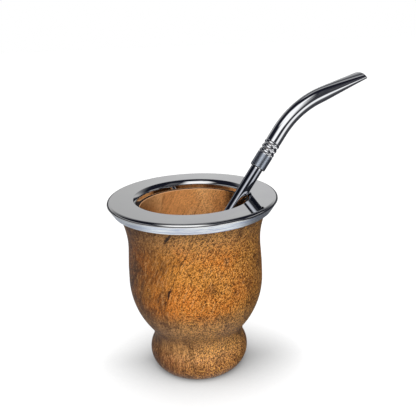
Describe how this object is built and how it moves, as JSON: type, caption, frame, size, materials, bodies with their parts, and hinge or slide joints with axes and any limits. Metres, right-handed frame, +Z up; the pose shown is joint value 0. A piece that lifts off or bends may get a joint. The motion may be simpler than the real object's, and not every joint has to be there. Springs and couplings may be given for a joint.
{
  "type": "mate cup",
  "caption": "Turned wooden mate cup with a flat metal rim, and a bent metal drinking straw with a filter bulb leaning in it.",
  "frame": {"origin": "middle of the foot's flat underside, on the cup's axis", "axes": "+Z up along the cup's axis, +X towards the side of the rim on which the straw leans"},
  "size_m": [0.138, 0.088, 0.1533],
  "materials": {
    "turned_wood": "turned hardwood, amber brown with dark pores and streaks, waxed",
    "rim_metal": "polished flat top and rolled lip, skirt brushed round the cup",
    "straw_metal": "polished",
    "collar_metal": "satin sleeve under polished rings"
  },
  "bodies": {
    "root": {"cup_body": "turned_wood", "rim_ring": "rim_metal", "mouthpiece_tube": "straw_metal", "joint_collar": "collar_metal", "lower_tube": "straw_metal", "filter_bulb": "straw_metal"}
  },
  "joints": []
}
